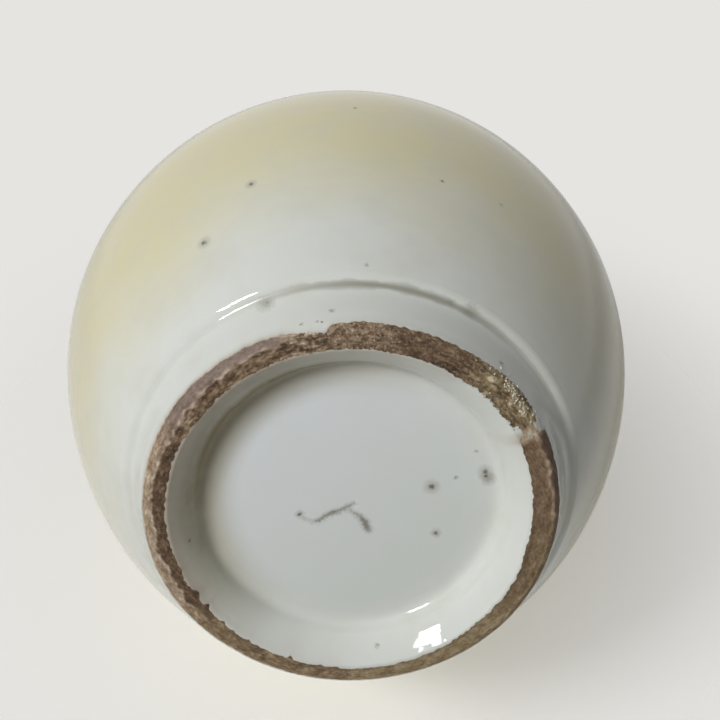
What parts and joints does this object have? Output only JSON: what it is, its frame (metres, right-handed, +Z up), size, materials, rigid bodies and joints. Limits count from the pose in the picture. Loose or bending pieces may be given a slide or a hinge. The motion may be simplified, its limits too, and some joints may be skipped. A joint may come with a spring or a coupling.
{
  "type": "porcelain bottle vase",
  "caption": "Round-bellied porcelain bottle vase with a slim flared neck, rolled mouth and turned foot ring, thrown in sections luted with slip and glazed white over a bare brown foot edge.",
  "frame": {"origin": "centre of the foot ring, on the plane that the vase stands on", "axes": "+Z up along the turning axis; the picture looks at the foot from the -Y side"},
  "size_m": [0.176, 0.176, 0.29],
  "materials": {
    "white_glaze": "glossy cool white feldspar glaze on porcelain",
    "cream_glaze": "glossy white glaze warming to cream over the belly and neck",
    "bare_foot": "unglazed brown foot edge, gritty with kiln sand",
    "luting_slip": "fired slip under glaze"
  },
  "bodies": {
    "root": {"foot_ring": "bare_foot", "foot_slip": "luting_slip", "lower_body": "white_glaze", "belly_slip": "luting_slip", "upper_body": "cream_glaze", "neck_slip": "luting_slip", "neck": "cream_glaze", "mouth_slip": "luting_slip", "mouth_rim": "cream_glaze"}
  },
  "joints": []
}
